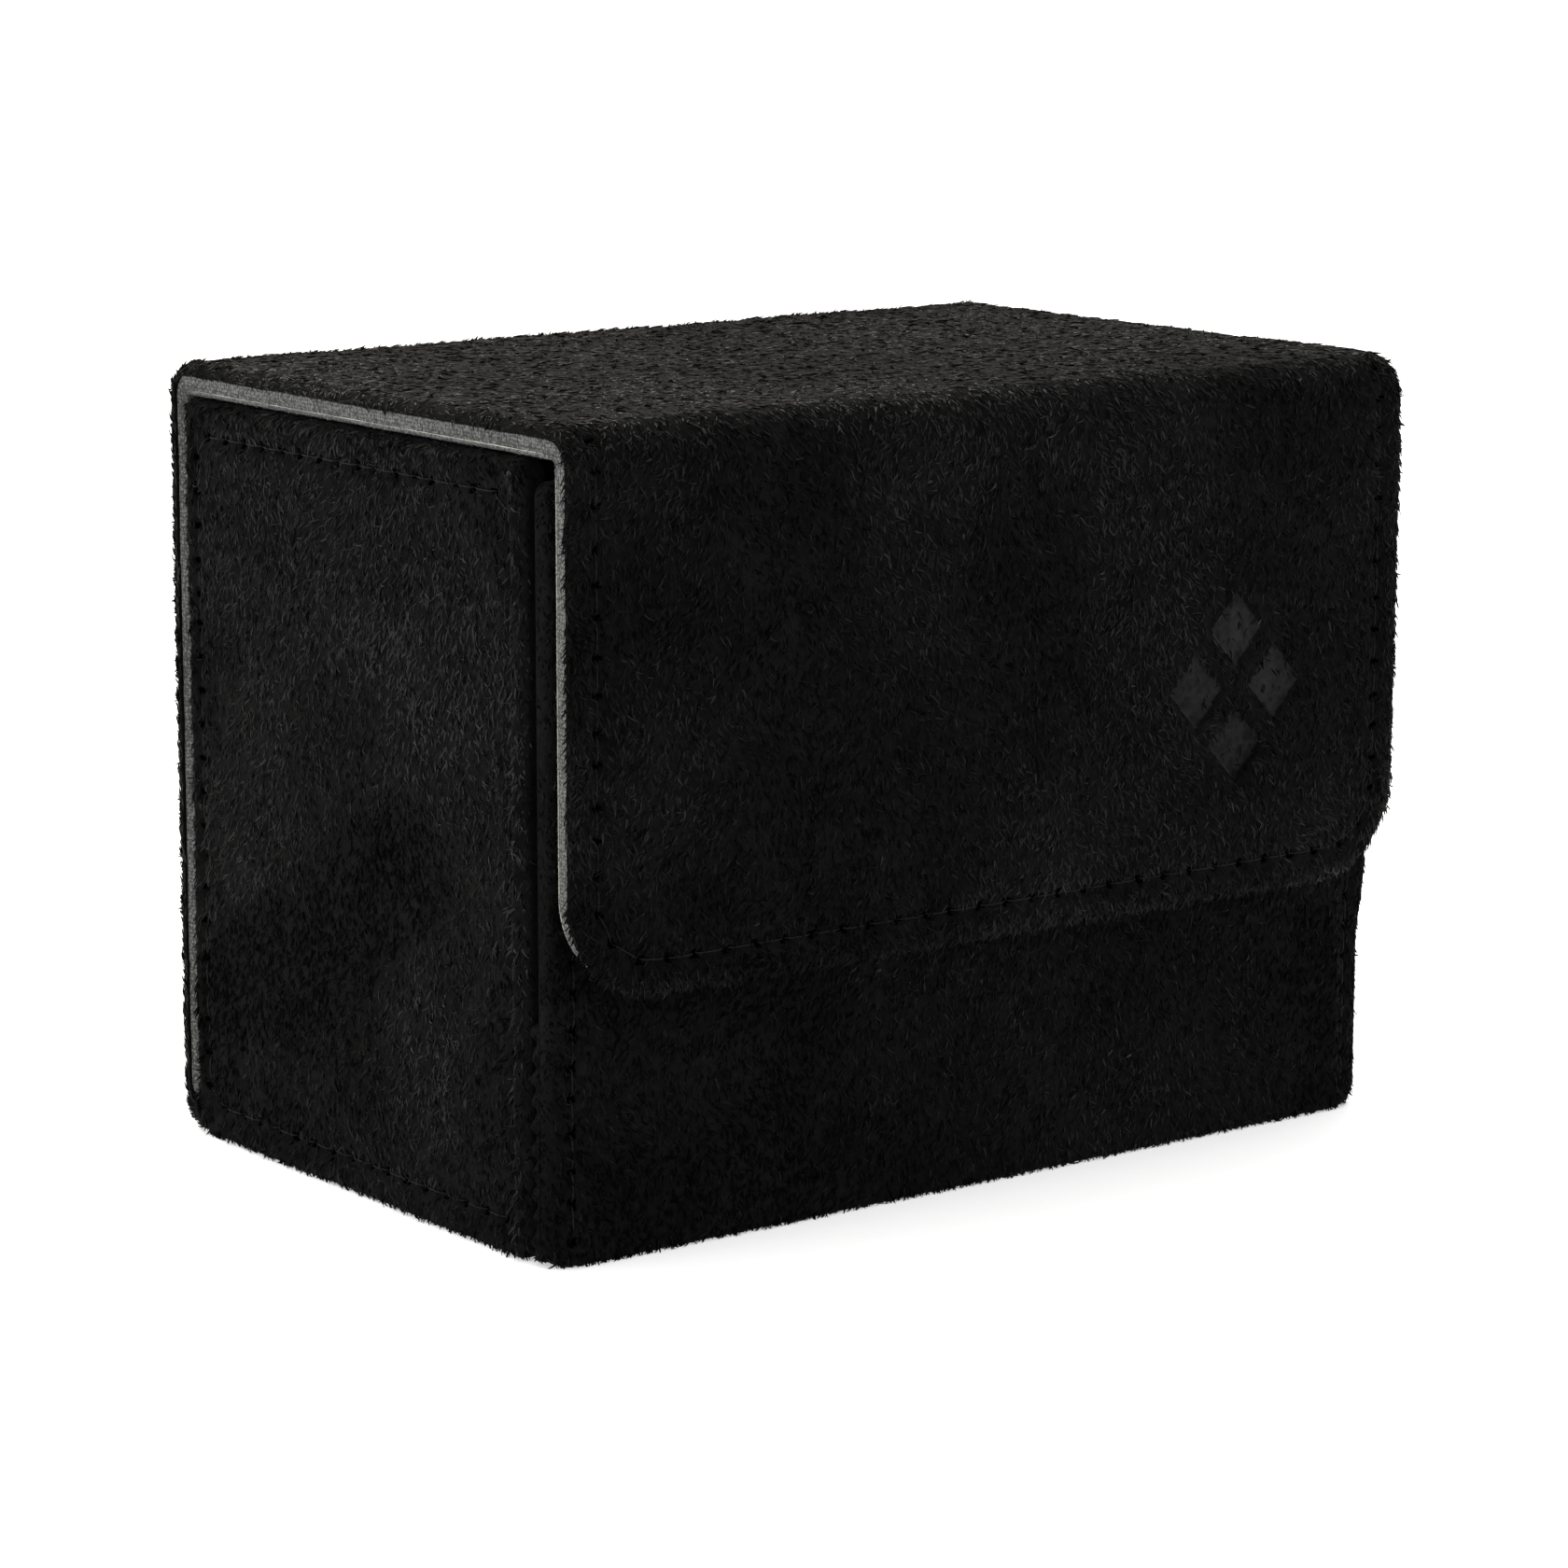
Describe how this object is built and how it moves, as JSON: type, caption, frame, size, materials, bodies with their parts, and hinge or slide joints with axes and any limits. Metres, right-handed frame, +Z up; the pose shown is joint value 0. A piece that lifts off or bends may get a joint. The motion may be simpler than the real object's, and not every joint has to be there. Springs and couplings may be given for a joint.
{
  "type": "card deck box",
  "caption": "Side-loading card deck box: a plush-covered lined box with a wrap-around cover whose front flap closes on hidden magnets.",
  "frame": {"origin": "middle of the base, on the surface that the box stands on", "axes": "+X to the right along the box's length, +Y from the flap to the back, +Z up"},
  "size_m": [0.107, 0.0734, 0.082],
  "materials": {
    "plush": "brushed short pile",
    "microfibre": "fine knit microfibre",
    "greyboard": "matte pressed paper board",
    "magnet": "nickel plated",
    "thread": "dull twisted thread"
  },
  "bodies": {
    "box": {"left_wall_skin": "plush", "left_wall_board": "greyboard", "left_wall_lining": "microfibre", "left_wall_stitching": "thread", "left_corner_seam": "plush", "right_wall_skin": "plush", "right_wall_board": "greyboard", "right_wall_lining": "microfibre", "right_wall_stitching": "thread", "right_corner_seam": "plush", "front_wall_skin": "plush", "front_wall_board": "greyboard", "front_wall_lining": "microfibre", "front_wall_magnets": "magnet", "front_wall_stitching": "thread", "back_wall_skin": "plush", "back_wall_board": "greyboard", "back_wall_lining": "microfibre", "floor_skin": "plush", "floor_board": "greyboard", "floor_lining": "microfibre", "rear_hinge_skin": "plush", "rear_hinge_lining": "microfibre"},
    "lid": {"lid_skin": "plush", "lid_board": "greyboard", "lid_lining": "microfibre", "front_hinge_skin": "plush", "front_hinge_lining": "microfibre"},
    "flap": {"flap_skin": "plush", "flap_board": "greyboard", "flap_lining": "microfibre", "flap_magnets": "magnet", "flap_stitching": "thread"}
  },
  "joints": [
    {"name": "lid_hinge", "type": "hinge", "parent": "box", "child": "lid", "pos_m": [0, 0.035, 0.0803], "axis": [-1, 0, 0], "range_deg": [0, 180], "deforming": ["rear_hinge_skin", "rear_hinge_lining"]},
    {"name": "flap_hinge", "type": "hinge", "parent": "lid", "child": "flap", "pos_m": [0, -0.035, 0.0803], "axis": [-1, 0, 0], "range_deg": [0, 180], "deforming": ["front_hinge_skin", "front_hinge_lining"]}
  ]
}
